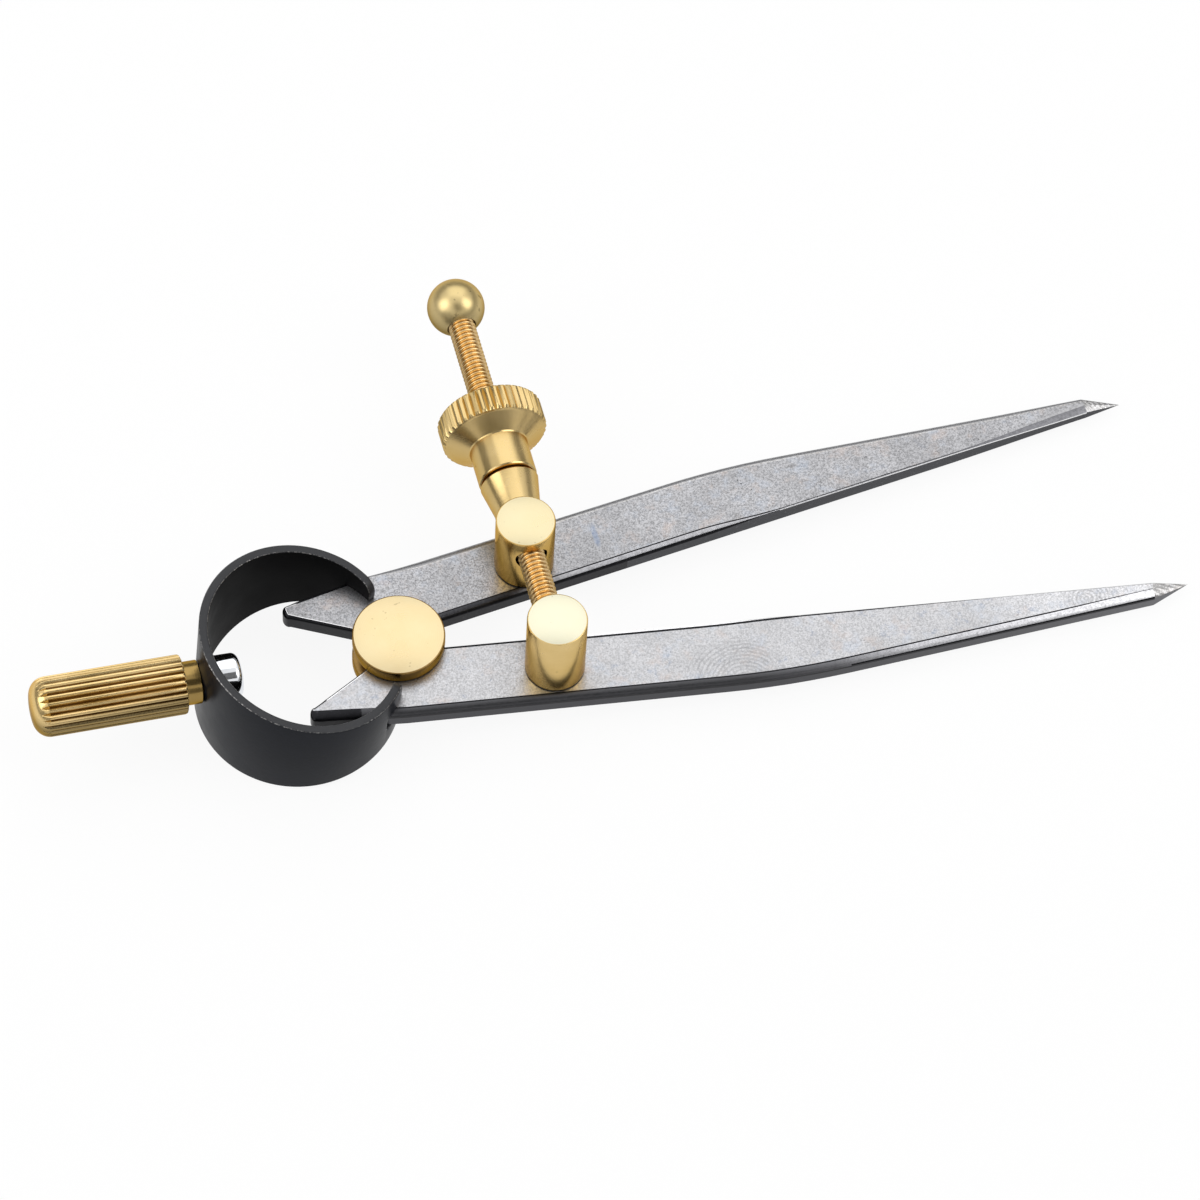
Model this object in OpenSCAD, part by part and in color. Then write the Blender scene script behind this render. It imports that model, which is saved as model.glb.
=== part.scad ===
// Spring divider: two flat legs that turn on a spool, a bow spring with a fluted handle,
// and an adjusting screw with a thumb nut. Lengths are millimetres, angles degrees.
// The origin is on the fulcrum axis at the underside of the spool. +X runs between the
// legs towards the points, +Y towards the leg with the thumb nut, and +Z up.

/* [Legs] */
// Thickness of each leg
leg_t = 2.7; // [2:0.1:3.6]
// Fulcrum axis to the point, along the inner edge
leg_reach = 115; // [95:1:140]
// Fulcrum axis to the shoulder where the outer taper starts
shoulder_x = 55; // [45:1:65]
// Fulcrum axis to the line of the inner edge
inner_edge = 1.5; // [1:0.1:2]
// Width of the leg beside the fulcrum
head_w = 10.5; // [9.5:0.1:12]
// Width of the leg at the shoulder
shoulder_w = 10.2; // [8:0.1:11]
// Half of the length over which the outer edge bends at the shoulder
shoulder_bend = 9; // [4:0.5:14]
// Width of the leg where the ground point starts
tip_w = 2.3; // [1.6:0.1:3.2]
// Length of the ground point
tip_len = 5.4; // [3:0.1:8]
// Reach of the nose behind the fulcrum axis
nose_len = 13; // [11:0.1:14]
// Width of the nose's blunt end
nose_w = 2.1; // [1.2:0.1:2.6]
// How far the nose draws in from the outer edge
nose_inset = 0.5; // [0.2:0.1:1.8]
// Where the nose's inner edge would meet the line of the leg's inner edge, behind the axis
nose_root = 1.6; // [0.8:0.1:2.2]
// Width of the chamfers along the upper edges
edge_bevel = 0.6; // [0.2:0.05:0.9]
// Half of the angle between the legs' inner edges
spread = 7.35; // [3:0.05:15]

/* [Fulcrum] */
// Diameter of the spool's flanges
flange_d = 13.3; // [11.8:0.1:14]
// Thickness of each flange
flange_t = 2; // [1.2:0.1:3]
// Diameter of the spool's core
core_d = 8; // [6.5:0.1:9]

/* [Posts] */
// Diameter of the posts
post_d = 8.6; // [7.6:0.1:9.4]
// Height of the near post above its leg
near_post_h = 12.3; // [11:0.1:15]
// Height of the far post above its leg
far_post_h = 11; // [10.4:0.1:15]
// Fulcrum axis to the post, along the leg
post_x = 21.7; // [18:0.1:30]
// Line of the fulcrum to the post, across the leg
post_y = 6.2; // [5.7:0.1:6.8]
// Diameter of the tenon in the leg
tenon_d = 5; // [3.5:0.1:6]
// Width of the rivet's rim round the tenon
rivet_rim = 0.8; // [0.4:0.1:1.2]
// Height of the rivet below the washer
rivet_h = 0.7; // [0.4:0.1:1]
// Diameter of the washers
washer_d = 7.8; // [7.4:0.1:9]
// Thickness of the washers
washer_t = 0.6; // [0.4:0.1:0.8]

/* [Adjusting screw] */
// Outside diameter of the thread
screw_d = 4; // [3:0.1:4.6]
// Pitch of the thread
pitch = 0.7; // [0.5:0.05:1]
// Depth of the thread
thread_depth = 0.4; // [0.2:0.05:0.5]
// Height of the screw's axis above the legs
screw_rise = 7.3; // [6.5:0.1:8]
// How far the screw passes the near post's axis
screw_grip = 2.5; // [1:0.1:3]
// Near post's axis to the centre of the ball
ball_reach = 58.9; // [54:0.1:75]
// Diameter of the ball
ball_d = 8.5; // [7:0.1:10]
// Depth of the hole in the ball
ball_hole = 5; // [4:0.1:6]

/* [Thumb nut and collar] */
// Diameter of the knurled wheel
wheel_d = 15.5; // [13:0.1:18]
// Thickness of the knurled wheel
wheel_t = 4.2; // [2:0.1:5]
// Width of the plain lip on each face of the wheel
wheel_lip = 0.3; // [0.25:0.05:0.6]
// Number of knurls
knurls = 42; // [30:1:52]
// Depth of the knurls
knurl_depth = 0.4; // [0.2:0.05:0.6]
// Diameter of the hub
hub_d = 8.6; // [7.5:0.1:10]
// Length of the hub
hub_len = 5.9; // [4:0.1:8]
// Length of the cone between the hub and the wheel
cone_len = 1.65; // [0.8:0.05:2.5]
// Far post's axis to the collar's outer face
collar_reach = 9.5; // [7.5:0.1:12]
// Diameter of the collar at its outer face
collar_d = 8.6; // [7.5:0.1:10]
// Diameter of the collar at the post
collar_seat_d = 6.8; // [6.2:0.1:7.4]

/* [Bow spring] */
// Fulcrum axis to the middle of the bow
bow_x = 14.3; // [13.4:0.1:16]
// Mean outside radius of the bow
bow_r = 15.4; // [14.6:0.1:17]
// How much the bow is wider than long, on the radius
bow_oval = 0.65; // [0:0.05:1.2]
// How much the bow is fuller towards its ends, on the radius
bow_full = 0.12; // [0:0.02:0.4]
// Thickness of the strip
bow_t = 1.3; // [0.8:0.1:1.6]
// Width of the strip at its back
bow_back_w = 18.8; // [16:0.1:24]
// Width of the strip at its ends
bow_end_w = 9.8; // [8.5:0.1:12]
// Angle that the bow leaves open on each side of its middle
bow_open = 33; // [29:0.5:38]
// Radius of the corners at the ends of the strip
bow_end_round = 2.2; // [0.8:0.1:2.4]
// How far the bow stands tilted in its forks, with its back up
bow_tilt = 3.9; // [0:0.1:5]

/* [Handle] */
// Diameter of the handle
handle_d = 8.6; // [8:0.1:12]
// Length of the fluted grip with its rounded end
handle_len = 22; // [18:0.5:40]
// Radius of the rounded end
handle_round = 2.4; // [1:0.1:3]
// Number of flutes
flutes = 26; // [18:1:34]
// Depth of the flutes
flute_depth = 0.4; // [0.2:0.05:0.6]
// Diameter of the neck
neck_d = 6.3; // [5.6:0.1:7.5]
// Length of the neck
neck_len = 2.3; // [1:0.1:4]
// Diameter of the handle screw's thread
bolt_d = 4; // [3:0.1:4.4]
// How far the handle screw reaches into the handle
bolt_grip = 9; // [6:0.5:12]
// Diameter of the handle screw's head
bolt_head_d = 6.6; // [6:0.1:8]
// Height of the handle screw's head
bolt_head_h = 4.3; // [2.4:0.1:4.8]
// Radius of the rounded edge of that head
bolt_head_round = 1.1; // [0.5:0.1:1.5]
// Width of the slot in that head
bolt_slot = 0.9; // [0.6:0.1:1.2]
// Turn of that slot about the screw's axis
bolt_slot_turn = -30; // [-90:5:90]

/* [Clearances] */
// Between flat faces that move on each other
face_gap = 0.2; // [0.1:0.05:0.3]
// Round a pin that turns in its hole, on the radius
run_gap = 0.05; // [0.02:0.01:0.1]
// Round the screw in the thumb nut, on the radius
thread_gap = 0.08; // [0.03:0.01:0.1]
// Round the screw in the far post and the collar, on the radius
loose_gap = 0.35; // [0.25:0.05:0.6]
// Above and below the legs in the forks of the bow
fork_gap = 0.25; // [0.15:0.05:0.4]
// Between pieces that bear on each other
seat_gap = 0.05; // [0.02:0.01:0.1]
// Between the ends of the bow and the flanges
end_gap = 0.9; // [0.4:0.1:1.2]

/* [Hidden] */
$fn = 64;

// Colours as seen on the object
steel = [0.62, 0.62, 0.64];
black_oxide = [0.16, 0.16, 0.18];
brass = [0.85, 0.68, 0.32];
red_brass = [0.80, 0.56, 0.24];
plated = [0.80, 0.80, 0.82];

// A little more than any solid reaches, for cutting right through
beyond = 2 * leg_reach;
chamfer = 0.2;

// Heights, from the spool's underside up
leg_bottom = flange_t + face_gap;
leg_top = leg_bottom + leg_t;
leg_mid = leg_bottom + leg_t / 2;
spool_h = 2 * (flange_t + face_gap) + leg_t;
post_foot = leg_top + face_gap / 2;
washer_top = leg_bottom - face_gap / 2;
rivet_bottom = washer_top - washer_t - rivet_h;
screw_z = leg_top + screw_rise;

// Leg outline, with its inner edge along +X
outer_edge = inner_edge + head_w;
shoulder_y = inner_edge + shoulder_w;
nose_y = outer_edge - nose_inset;
tip_start = leg_reach - tip_len;
tip_y = inner_edge + tip_w;
bend_steps = 6;

// The outer edge, from the fulcrum over the bend at the shoulder to the ground point
shoulder = [shoulder_x, shoulder_y];
bend_in = shoulder + shoulder_bend * ([0, outer_edge] - shoulder) / shoulder_x;
bend_out = shoulder + shoulder_bend * ([tip_start, tip_y] - shoulder) / (tip_start - shoulder_x);
outer_line = concat(
  [[0, outer_edge]],
  [for (i = [0 : bend_steps]) bend_point(i / bend_steps)],
  [[tip_start, tip_y]]
);

// Posts as the legs stand
post_r = post_d / 2;
post_px = post_x * cos(spread) - post_y * sin(spread);
post_py = post_x * sin(spread) + post_y * cos(spread);

// Along the screw, from the near post's axis
screw_r = screw_d / 2;
ball_r = ball_d / 2;
ball_face = sqrt(pow(ball_r, 2) - pow(screw_r + chamfer, 2));
screw_end = ball_reach - ball_face + ball_hole;
turns = floor((screw_grip + screw_end) / pitch);
nut_start = collar_reach + face_gap;
knurl_start = hub_len + cone_len;
loose_r = screw_r + loose_gap;

// Bow
bow_back = bow_outer(180);
bow_step = 3;
bow_steps = ceil((180 - bow_open) / bow_step);
fork_x = bow_point(bow_open, bow_t / 2).x;
head_r = bolt_head_d / 2;
bow_bore_r = bow_back - bow_t;

// Radius to which the inside of the back is bent, and how far a flat head sinks into it
back_bend = pow(bow_bore_r, 2) / (bow_bore_r - 4 * bow_oval + 9 * bow_full);
head_sink = back_bend - sqrt(pow(back_bend, 2) - pow(head_r, 2));

// A point of the bend at the shoulder, t from 0 to 1
function bend_point(t) =
  (1 - t) * (1 - t) * bend_in + 2 * t * (1 - t) * shoulder + t * t * bend_out;

// Outside radius of the bow in the direction a, from its middle
function bow_outer(a) = bow_r - bow_oval * cos(2 * a) - bow_full * cos(3 * a);

// A point of the bow, in from its outside by the depth d
function bow_point(a, d) = (bow_outer(a) - d) * [cos(a), sin(a)];

// Direction of the bow's step i, counted from its back
function bow_angle(i) = 180 + i * (180 - bow_open) / bow_steps;

// A round outline with n ridges, r at their crests and r - d in the valleys
module ridged(r, d, n) {
  polygon([for (i = [0 : 2 * n - 1]) (r - (i % 2) * d) * [cos(180 * i / n), sin(180 * i / n)]]);
}

// Turned cylinder with both rims chamfered
module turned(d, h, c = chamfer) {
  rotate_extrude()
    polygon([[0, 0], [d / 2 - c, 0], [d / 2, c], [d / 2, h - c], [d / 2 - c, h], [0, h]]);
}

// Frames in which the pieces are drawn
module leg_frame(side) {
  mirror([0, side < 0 ? 1 : 0, 0])
    rotate([0, 0, spread])
      children();
}

module post_frame(side) {
  translate([post_px, side * post_py, 0])
    children();
}

// Z along the screw, from the axis of the post on that side
module screw_frame(side) {
  translate([post_px, side * post_py, screw_z])
    rotate([-90, 0, 0])
      children();
}

// From the middle of the bow, which is tilted about its forks
module bow_frame() {
  translate([fork_x - bow_x, 0, leg_mid])
    rotate([0, bow_tilt, 0])
      translate([-fork_x, 0, 0])
        children();
}

// Z out of the back of the bow, from its outside
module handle_frame() {
  bow_frame()
    translate([-bow_back, 0, 0])
      rotate([0, -90, 0])
        children();
}

module leg_outline() {
  nose = [
    [-nose_len, nose_y - nose_w], [-nose_len - nose_w / 3, nose_y - nose_w / 2],
    [-nose_len, nose_y]
  ];
  polygon(concat([[leg_reach, inner_edge], [-nose_root, inner_edge]], nose, outer_line));
}

// Wedge that chamfers the upper edge from point a to point b, and runs a little past both
module bevel_cut(a, b) {
  run = b - a;
  side = edge_bevel * sqrt(2);
  translate([a.x, a.y, leg_top])
    rotate([0, 0, atan2(run.y, run.x)])
      rotate([45, 0, 0])
        translate([-edge_bevel, -side / 2, -side / 2])
          cube([norm(run) + 2 * edge_bevel, side, side]);
}

// Wedge above the slope that falls from the upper face to the point at half thickness
module point_cut() {
  translate([tip_start, 0, leg_top])
    rotate([0, atan2(leg_t / 2, tip_len), 0])
      translate([0, -beyond / 2, 0])
        cube([beyond, beyond, beyond]);
}

module leg(side) {
  color(steel)
    leg_frame(side)
      difference() {
        translate([0, 0, leg_bottom])
          linear_extrude(leg_t)
            leg_outline();
        cylinder(d = core_d + 2 * run_gap, h = beyond, center = true);
        translate([post_x, post_y, 0])
          cylinder(d = tenon_d + 2 * run_gap, h = beyond, center = true);
        bevel_cut([core_d / 2, inner_edge], [shoulder_x, inner_edge]);
        for (i = [0 : len(outer_line) - 2])
          bevel_cut(outer_line[i], outer_line[i + 1]);
        point_cut();
        translate([0, 0, 2 * leg_mid])
          mirror([0, 0, 1])
            point_cut();
      }
}

module far_leg() {
  leg(1);
}

module near_leg() {
  leg(-1);
}

module fulcrum_spool() {
  color(brass)
    union() {
      turned(flange_d, flange_t);
      cylinder(d = core_d, h = spool_h);
      translate([0, 0, spool_h - flange_t])
        turned(flange_d, flange_t);
    }
}

// Flat ring of the bow, open at the fulcrum
module bow_ring() {
  outside = [for (i = [-bow_steps : bow_steps]) bow_point(bow_angle(i), 0)];
  inside = [for (i = [bow_steps : -1 : -bow_steps]) bow_point(bow_angle(i), bow_t)];
  linear_extrude(bow_back_w, center = true)
    polygon(concat(outside, inside));
}

// Side view of the strip, wide at the back and narrow at its rounded ends
module bow_taper() {
  corner = [bow_point(bow_open, 0).x, bow_end_w / 2] - bow_end_round * [1, 1];
  upper = [for (a = [0 : 15 : 75]) corner + bow_end_round * [cos(a), sin(a)]];
  lower = [for (i = [len(upper) - 1 : -1 : 0]) [upper[i].x, -upper[i].y]];
  rotate([90, 0, 0])
    linear_extrude(beyond, center = true)
      polygon(concat(upper, [[-bow_back, bow_back_w / 2], [-bow_back, -bow_back_w / 2]], lower));
}

// Room for a leg in the fork of the bow
module fork_cut(side) {
  leg_frame(side)
    translate([0, 0, leg_bottom - fork_gap])
      linear_extrude(leg_t + 2 * fork_gap)
        polygon([
          [-nose_len, 0], [post_x, 0], [post_x, outer_edge + seat_gap],
          [0, outer_edge + seat_gap], [-nose_len, nose_y + seat_gap]
        ]);
}

module bow_spring() {
  color(black_oxide)
    difference() {
      bow_frame()
        intersection() {
          bow_ring();
          bow_taper();
        }
      fork_cut(1);
      fork_cut(-1);
      cylinder(r = flange_d / 2 + end_gap, h = beyond, center = true);
      handle_frame()
        translate([0, 0, -2 * bow_t])
          cylinder(d = bolt_d + 2 * run_gap, h = 4 * bow_t);
    }
}

module handle() {
  r = handle_d / 2;
  color(brass)
    handle_frame()
      difference() {
        union() {
          cylinder(d = neck_d, h = neck_len + chamfer);
          translate([0, 0, neck_len]) {
            linear_extrude(handle_len - handle_round)
              ridged(r, flute_depth + chamfer, flutes);
            handle_core(r - flute_depth);
          }
        }
        translate([0, 0, -chamfer])
          cylinder(d = bolt_d + 2 * run_gap, h = bolt_grip + 2 * chamfer);
      }
}

// Core of the handle, of the radius r, with its end rounded
module handle_core(r) {
  straight = handle_len - handle_round;
  rotate_extrude()
    union() {
      square([r, straight]);
      square([r - handle_round, handle_len]);
      translate([r - handle_round, straight])
        intersection() {
          circle(handle_round);
          square(handle_round);
        }
    }
}

module handle_screw() {
  seat = -bow_t - head_sink - seat_gap;
  color(plated)
    handle_frame()
      difference() {
        union() {
          translate([0, 0, seat - chamfer])
            cylinder(d = bolt_d, h = bolt_grip + chamfer - seat);
          translate([0, 0, seat])
            mirror([0, 0, 1])
              rotate_extrude()
                polygon(concat(
                  [[0, 0], [head_r, 0]],
                  [for (a = [0 : 10 : 90])
                    [head_r, bolt_head_h] - bolt_head_round * [1 - cos(a), 1 - sin(a)]],
                  [[0, bolt_head_h]]
                ));
        }
        rotate([0, 0, bolt_slot_turn])
          translate([-bolt_slot / 2, -beyond / 2, seat - bolt_head_h - chamfer])
            cube([bolt_slot, beyond, bolt_head_round]);
      }
}

// Post with its tenon through the leg and the rivet below the washer
module post(side, h) {
  post_frame(side) {
    translate([0, 0, post_foot])
      turned(post_d, h);
    translate([0, 0, rivet_bottom])
      cylinder(d = tenon_d, h = post_foot + chamfer - rivet_bottom);
    translate([0, 0, rivet_bottom])
      turned(tenon_d + 2 * rivet_rim, rivet_h);
  }
}

module near_post() {
  color(brass)
    difference() {
      post(-1, near_post_h);
      screw_frame(-1)
        translate([0, 0, -screw_grip])
          cylinder(r = screw_r + run_gap, h = beyond);
    }
}

module far_post() {
  color(brass)
    difference() {
      post(1, far_post_h);
      screw_frame(1)
        cylinder(r = loose_r, h = beyond, center = true);
    }
}

module post_washer(side) {
  color(steel)
    post_frame(side)
      translate([0, 0, washer_top - washer_t])
        difference() {
          cylinder(d = washer_d, h = washer_t);
          cylinder(d = tenon_d + 2 * run_gap, h = beyond, center = true);
        }
}

module near_post_washer() {
  post_washer(-1);
}

module far_post_washer() {
  post_washer(1);
}

// Rod with a ring at each turn of the thread
module adjusting_screw() {
  root_r = screw_r - thread_depth;
  length = screw_grip + screw_end;
  flanks = [for (i = [0 : turns - 1]) each [[root_r, i * pitch], [screw_r, (i + 0.5) * pitch]]];
  color(red_brass)
    screw_frame(-1)
      translate([0, 0, -screw_grip])
        rotate_extrude()
          polygon(concat([[0, 0]], flanks, [[root_r, turns * pitch], [root_r, length], [0, length]]));
}

module ball_end() {
  color(brass)
    screw_frame(-1)
      translate([0, 0, ball_reach])
        difference() {
          sphere(ball_r);
          translate([0, 0, -beyond - ball_face])
            cylinder(r = ball_r, h = beyond);
          translate([0, 0, -ball_r])
            cylinder(r = screw_r + run_gap, h = ball_r - ball_face + ball_hole);
        }
}

module thumb_nut() {
  core = wheel_d - 2 * knurl_depth;
  color(brass)
    screw_frame(1)
      translate([0, 0, nut_start])
        difference() {
          union() {
            turned(hub_d, hub_len + cone_len);
            translate([0, 0, hub_len])
              cylinder(d1 = hub_d, d2 = core - 4 * chamfer, h = cone_len + chamfer);
            translate([0, 0, knurl_start]) {
              turned(core, wheel_t);
              translate([0, 0, wheel_lip])
                linear_extrude(wheel_t - 2 * wheel_lip)
                  ridged(wheel_d / 2, knurl_depth + chamfer, knurls);
            }
          }
          cylinder(r = screw_r + thread_gap, h = beyond, center = true);
        }
}

module thrust_collar() {
  color(brass)
    difference() {
      screw_frame(1)
        rotate_extrude()
          polygon([
            [loose_r, 0], [collar_seat_d / 2, 0], [collar_seat_d / 2, post_r],
            [collar_d / 2, collar_reach], [loose_r, collar_reach]
          ]);
      post_frame(1)
        cylinder(r = post_r + seat_gap, h = beyond, center = true);
    }
}

far_leg();
near_leg();
bow_spring();
fulcrum_spool();
handle();
handle_screw();
near_post();
far_post();
near_post_washer();
far_post_washer();
adjusting_screw();
ball_end();
thumb_nut();
thrust_collar();
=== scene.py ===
import math
from collections import namedtuple

import bmesh
import bpy
from mathutils import Matrix, Vector


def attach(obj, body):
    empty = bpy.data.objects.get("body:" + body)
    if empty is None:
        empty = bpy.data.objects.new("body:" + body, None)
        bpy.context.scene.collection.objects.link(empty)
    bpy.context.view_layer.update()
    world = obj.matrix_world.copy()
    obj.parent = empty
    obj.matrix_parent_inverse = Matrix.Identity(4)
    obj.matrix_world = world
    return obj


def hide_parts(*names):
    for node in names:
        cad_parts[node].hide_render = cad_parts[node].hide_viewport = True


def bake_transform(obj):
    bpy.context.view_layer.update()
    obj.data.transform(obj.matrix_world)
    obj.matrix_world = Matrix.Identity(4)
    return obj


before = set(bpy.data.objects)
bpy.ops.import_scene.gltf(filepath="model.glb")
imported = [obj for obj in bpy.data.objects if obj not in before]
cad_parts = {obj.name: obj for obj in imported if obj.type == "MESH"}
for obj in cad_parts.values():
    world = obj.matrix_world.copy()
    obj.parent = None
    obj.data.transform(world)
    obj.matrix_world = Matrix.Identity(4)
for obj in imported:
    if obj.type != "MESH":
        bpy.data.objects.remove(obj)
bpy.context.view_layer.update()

# A spring divider: ground steel legs on a brass spool, a blackened bow spring with a fluted handle, and a screw with
# a knurled nut. The meshes are made in millimetres, and to_object makes metres of them.

MM = 0.001
TAU = 2 * math.pi

# Sizes in millimetres, the same as the solids have
LEG_BOTTOM, LEG_TOP = 2.2, 4.9
LEG_MID = (LEG_BOTTOM + LEG_TOP) / 2
SPREAD = 7.35
INNER_EDGE, OUTER_EDGE = 1.5, 12.0
LEG_REACH, TIP_START, TIP_Y = 115.0, 109.6, 3.8
SHOULDER, SHOULDER_BEND = Vector((55.0, 11.7)), 9.0
NOSE_END, NOSE_Y, NOSE_W, NOSE_ROOT = -13.0, 11.5, 2.1, -1.6
NOSE_HALF_X, NOSE_HALF_Y = NOSE_W / 3, NOSE_W / 2
NOTCH_R = 4.05
POST_HOLE, POST_HOLE_R, POST_HOLE_SIDES = (21.7, 6.2), 2.55, 40

SPOOL_H, FLANGE_R, FLANGE_T, CORE_R = 7.1, 6.65, 2.0, 4.0
POST_X, POST_Y, POST_R = 20.7285, 8.9251, 4.3
POST_FOOT, NEAR_POST_TOP, FAR_POST_TOP = 5.0, 17.3, 16.0
TENON_R, RIVET_R, RIVET_BOTTOM, RIVET_TOP = 2.5, 3.3, 0.8, 1.5
SCREW_Z, SCREW_R, SCREW_ROOT, PITCH = 12.2, 2.0, 1.58, 0.7
SCREW_START, SCREW_END = -2.5, 60.26
BALL_AT, BALL_R, BALL_FACE = 58.9, 4.25, 3.636
LOOSE_R, NEAR_BORE_R, NUT_BORE_R = 2.35, 2.05, 2.08
COLLAR_END, COLLAR_R, COLLAR_SEAT_R = 9.5, 4.3, 3.4
NUT_START, HUB_R, HUB_LEN, CONE_LEN = 9.7, 4.3, 5.9, 1.65
WHEEL_R, WHEEL_T, KNURLS, KNURL_DEPTH = 7.73, 4.2, 42, 0.42

BOW_X, BOW_OPEN, BOW_TILT = 14.3, math.radians(33), math.radians(3.9)
BOW_R, BOW_OVAL, BOW_FULL, BOW_T = 15.4, 0.65, 0.12, 1.3
BOW_BACK, BOW_BACK_HW, BOW_END_HW, BOW_CORNER = 14.87, 9.4, 4.9, 2.2
FORK_X = 12.164
SLOT_HW = 1.38

NECK_R, NECK_LEN = 3.15, 2.3
HANDLE_R, HANDLE_LEN, FLUTES, FLUTE_DEPTH = 4.3, 22.0, 26, 0.45
HEAD_SEAT, HEAD_R, HEAD_H, HEAD_ROUND = -1.71, 3.3, 4.3, 1.1
BOLT_R, BOLT_GRIP, BOLT_SLOT, BOLT_SLOT_TURN = 2.0, 9.0, 0.9, -30.0


def turn_z(degrees):
    return Matrix.Rotation(math.radians(degrees), 4, "Z")


FAR_LEG_FRAME = turn_z(SPREAD)
NEAR_LEG_FRAME = Matrix.Diagonal((1, -1, 1, 1)) @ FAR_LEG_FRAME
BOW_FRAME = (
    Matrix.Translation((FORK_X - BOW_X, 0, LEG_MID)) @ Matrix.Rotation(BOW_TILT, 4, "Y")
    @ Matrix.Translation((-FORK_X, 0, 0))
)
HANDLE_FRAME = BOW_FRAME @ Matrix.Translation((-BOW_BACK, 0, 0)) @ Matrix.Rotation(-math.pi / 2, 4, "Y")


def screw_frame(side):
    place = Matrix.Translation((POST_X, side * POST_Y, SCREW_Z))
    return place @ Matrix.Rotation(-math.pi / 2, 4, "X")


def post_frame(side):
    return Matrix.Translation((POST_X, side * POST_Y, 0))


def smoothstep(a, b, x):
    t = min(1.0, max(0.0, (x - a) / (b - a)))
    return t * t * (3 - 2 * t)


# Materials


class Nodes:
    """A material's node tree, with short calls for what the materials here need."""

    def __init__(self, name, **values):
        self.material = bpy.data.materials.new(name)
        self.material.use_nodes = True
        self.tree = self.material.node_tree
        self.shader = self.tree.nodes["Principled BSDF"]
        for socket, value in values.items():
            self.shader.inputs[socket.replace("_", " ")].default_value = value
        self.coords = self.add("ShaderNodeTexCoord").outputs["Object"]

    def add(self, kind, **settings):
        node = self.tree.nodes.new(kind)
        for key, value in settings.items():
            setattr(node, key, value)
        return node

    def link(self, out, socket):
        self.tree.links.new(out, socket)

    def to_shader(self, out, socket):
        self.link(out, self.shader.inputs[socket])

    def stretched(self, scale, centre=(0, 0, 0)):
        """The coordinates from that centre, in millimetres, times the scale on each axis."""
        node = self.add("ShaderNodeMapping")
        node.inputs["Location"].default_value = [-c * MM * s for c, s in zip(centre, scale)]
        node.inputs["Scale"].default_value = scale
        self.link(self.coords, node.inputs["Vector"])
        return node.outputs["Vector"]

    def spot(self, centre, radii):
        """1 at the centre, falling to 0 at the radii, all in millimetres."""
        node = self.add("ShaderNodeTexGradient", gradient_type="SPHERICAL")
        self.link(self.stretched([1 / (r * MM) for r in radii], centre), node.inputs["Vector"])
        return node.outputs["Fac"]

    def along(self, axis):
        split = self.add("ShaderNodeSeparateXYZ")
        self.link(self.coords, split.inputs["Vector"])
        return split.outputs[axis]

    def noise(self, scale, detail=4.0, rough=0.55, vector=None):
        node = self.add("ShaderNodeTexNoise")
        node.inputs["Scale"].default_value = scale
        node.inputs["Detail"].default_value = detail
        node.inputs["Roughness"].default_value = rough
        self.link(vector or self.coords, node.inputs["Vector"])
        return node.outputs["Fac"]

    def rings(self, centre, pitch, direction, distortion):
        """Rings round a centre, or round an axis through it, with that pitch, all in millimetres."""
        node = self.add("ShaderNodeTexWave", wave_type="RINGS", rings_direction=direction)
        node.inputs["Scale"].default_value = TAU / 20 / (pitch * MM)
        node.inputs["Distortion"].default_value = distortion
        node.inputs["Detail Scale"].default_value = 0.4
        self.link(self.stretched((1, 1, 1), centre), node.inputs["Vector"])
        return node.outputs["Fac"]

    def ramp(self, value, stops):
        node = self.add("ShaderNodeValToRGB")
        ramp = node.color_ramp
        while len(ramp.elements) < len(stops):
            ramp.elements.new(0.5)
        for element, (at, colour) in zip(ramp.elements, stops):
            element.position = at
            element.color = (*colour, 1)
        self.link(value, node.inputs["Fac"])
        return node.outputs["Color"]

    def level(self, value, low, high, out_low, out_high):
        node = self.add("ShaderNodeMapRange")
        for socket, number in zip(("From Min", "From Max", "To Min", "To Max"), (low, high, out_low, out_high)):
            node.inputs[socket].default_value = number
        self.link(value, node.inputs["Value"])
        return node.outputs["Result"]

    def times(self, a, b):
        node = self.add("ShaderNodeMath", operation="MULTIPLY")
        self.link(a, node.inputs[0])
        self.link(b, node.inputs[1])
        return node.outputs[0]

    def mix(self, fac, a, b):
        node = self.add("ShaderNodeMix", data_type="RGBA")
        self.link(fac, node.inputs["Factor"])
        for socket, colour in ((node.inputs[6], a), (node.inputs[7], b)):
            if isinstance(colour, tuple):
                socket.default_value = (*colour, 1)
            else:
                self.link(colour, socket)
        return node.outputs[2]

    def bump(self, height, depth, strength, under=None):
        """The normal of a surface with that relief, its depth in millimetres, on top of another normal."""
        node = self.add("ShaderNodeBump")
        node.inputs["Strength"].default_value = strength
        node.inputs["Distance"].default_value = depth * MM
        self.link(height, node.inputs["Height"])
        if under is not None:
            self.link(under, node.inputs["Normal"])
        return node.outputs["Normal"]


def shade(colour, k):
    return tuple(k * c for c in colour)


BLUE_TINT, WARM_TINT = (0.34, 0.39, 0.47), (0.46, 0.38, 0.34)
PIT, SMUDGE = (0.05, 0.05, 0.055), (0.20, 0.25, 0.35)
SPECK, RUBBED = (0.09, 0.09, 0.095), (0.40, 0.39, 0.38)
MARK_PITCH, FACING_PITCH = 0.60, 0.30


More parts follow.
